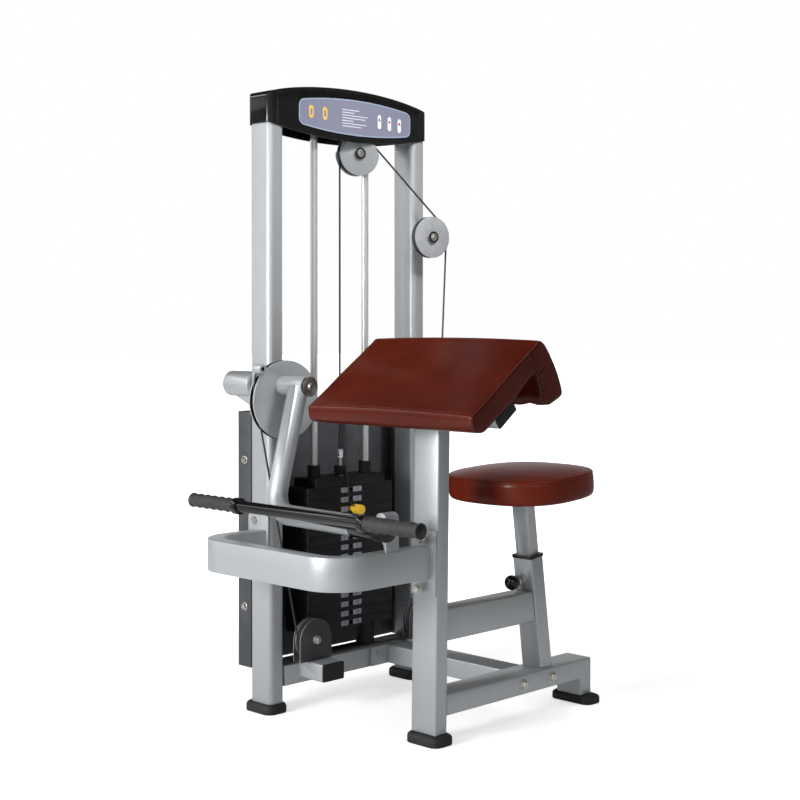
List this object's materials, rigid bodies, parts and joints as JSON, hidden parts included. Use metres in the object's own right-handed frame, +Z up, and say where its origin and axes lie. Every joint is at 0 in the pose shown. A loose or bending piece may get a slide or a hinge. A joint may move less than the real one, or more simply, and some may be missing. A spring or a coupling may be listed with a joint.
{
  "type": "biceps curl machine",
  "caption": "Selectorized biceps curl machine: a cable weight-stack tower, a swinging curl arm with a cross bar, a sloped arm pad on a post, and a height-adjustable seat.",
  "frame": {"origin": "centre of the bounding box in plan, on the floor", "axes": "+Z up; +X along the seat beam from the handle towards the seat; +Y across, towards the weight-stack tower"},
  "size_m": [1.0188, 0.998, 1.6092],
  "materials": {
    "silver": "metallic satin",
    "black_gloss": "gloss",
    "placard": "satin",
    "black_paint": "satin",
    "dark_sheet": "satin",
    "chrome": "polished",
    "bright_steel": "satin",
    "rubber": "matt",
    "grip_rubber": "matt",
    "vinyl": "semi-gloss",
    "yellow": "gloss",
    "pulley": "satin",
    "cable": "satin"
  },
  "bodies": {
    "frame": {"near_upright": "silver", "far_upright": "silver", "near_upright_foot": "rubber", "far_upright_foot": "rubber", "tower_base_beam": "silver", "top_beam": "silver", "top_cap": "black_gloss", "placard": "placard", "near_guide_rod": "chrome", "far_guide_rod": "chrome", "stack_bumpers": "rubber", "rear_shroud": "dark_sheet", "weight_plate_04": "black_paint", "weight_plate_05": "black_paint", "weight_plate_06": "black_paint", "weight_plate_07": "black_paint", "weight_plate_08": "black_paint", "weight_plate_09": "black_paint", "weight_plate_10": "black_paint", "weight_plate_11": "black_paint", "weight_plate_12": "black_paint", "weight_plate_13": "black_paint", "weight_plate_14": "black_paint", "weight_plate_15": "black_paint", "lower_near_bracket": "dark_sheet", "lower_far_bracket": "dark_sheet", "pulley_cable": "cable", "stack_cable": "cable", "pivot_housing": "silver", "guard_rail": "silver", "pad_post": "silver", "post_foot": "rubber", "seat_beam": "silver", "rear_foot": "rubber", "mid_beam": "silver", "lateral_tube": "silver", "seat_sleeve": "silver", "sleeve_collar": "black_paint", "pad_support_bar": "silver", "arm_pad": "vinyl"},
    "swing_arm": {"cam": "silver", "curl_arm": "silver", "pivot_cap": "black_paint", "cam_cable": "cable", "handle_bar": "black_gloss", "left_grip": "grip_rubber", "right_grip": "grip_rubber"},
    "lifted_stack": {"weight_plate_01": "black_paint", "weight_plate_02": "black_paint", "weight_plate_03": "black_paint", "head_plate": "black_paint", "selector_stem": "bright_steel"},
    "pull_pin": {"selector_pin": "yellow"},
    "near_wheel": {"lower_near_pulley": "pulley"},
    "far_wheel": {"lower_far_pulley": "pulley"},
    "side_wheel": {"side_pulley": "pulley"},
    "upper_wheel": {"upper_pulley": "pulley"},
    "seat": {"seat_stem": "silver", "seat_cushion": "vinyl"},
    "seat_pin": {"pop_pin": "black_gloss"}
  },
  "joints": [
    {"name": "arm_swing", "type": "hinge", "parent": "frame", "child": "swing_arm", "pos_m": [-0.16564, 0.3065, 0.835], "axis": [0, 1, 0], "range_deg": [0, 110]},
    {"name": "stack_lift", "type": "slide", "parent": "frame", "child": "lifted_stack", "axis": [0, 0, 1], "range_m": [0, 0.1652], "deforming": ["stack_cable"]},
    {"name": "near_wheel_spin", "type": "hinge", "parent": "frame", "child": "near_wheel", "pos_m": [-0.06464, 0.2985, 0.178], "axis": [0, 1, 0], "range_deg": [0, 199.3]},
    {"name": "far_wheel_spin", "type": "hinge", "parent": "frame", "child": "far_wheel", "pos_m": [0.34136, 0.3047, 0.178], "axis": [0, 1, 0], "range_deg": [0, 199.3]},
    {"name": "side_wheel_spin", "type": "hinge", "parent": "frame", "child": "side_wheel", "pos_m": [0.35135, 0.275, 1.228], "axis": [0.2079, 0.9781, 0], "range_deg": [0, 178.6]},
    {"name": "upper_wheel_spin", "type": "hinge", "parent": "frame", "child": "upper_wheel", "pos_m": [0.1389, 0.34439, 1.446], "axis": [0.2756, 0.9613, 0], "range_deg": [0, 178.6]},
    {"name": "selector_pull", "type": "slide", "parent": "lifted_stack", "child": "pull_pin", "axis": [0, -1, 0], "range_m": [0, 0.06]},
    {"name": "seat_height", "type": "slide", "parent": "frame", "child": "seat", "axis": [-0.1338, 0, 0.991], "range_m": [-0.05, 0.075]},
    {"name": "pop_pin_pull", "type": "slide", "parent": "frame", "child": "seat_pin", "axis": [-0.991, 0, -0.1338], "range_m": [0, 0.0125], "stiffness_N_per_m": 600, "springref_m": -0.004}
  ],
  "couplings": [
    {"joint": "stack_lift", "follows": "arm_swing", "m_per_rad": 0.086},
    {"joint": "near_wheel_spin", "follows": "arm_swing", "ratio": 1.8105},
    {"joint": "far_wheel_spin", "follows": "arm_swing", "ratio": 1.8105},
    {"joint": "side_wheel_spin", "follows": "arm_swing", "ratio": 1.6226},
    {"joint": "upper_wheel_spin", "follows": "arm_swing", "ratio": 1.6226}
  ]
}
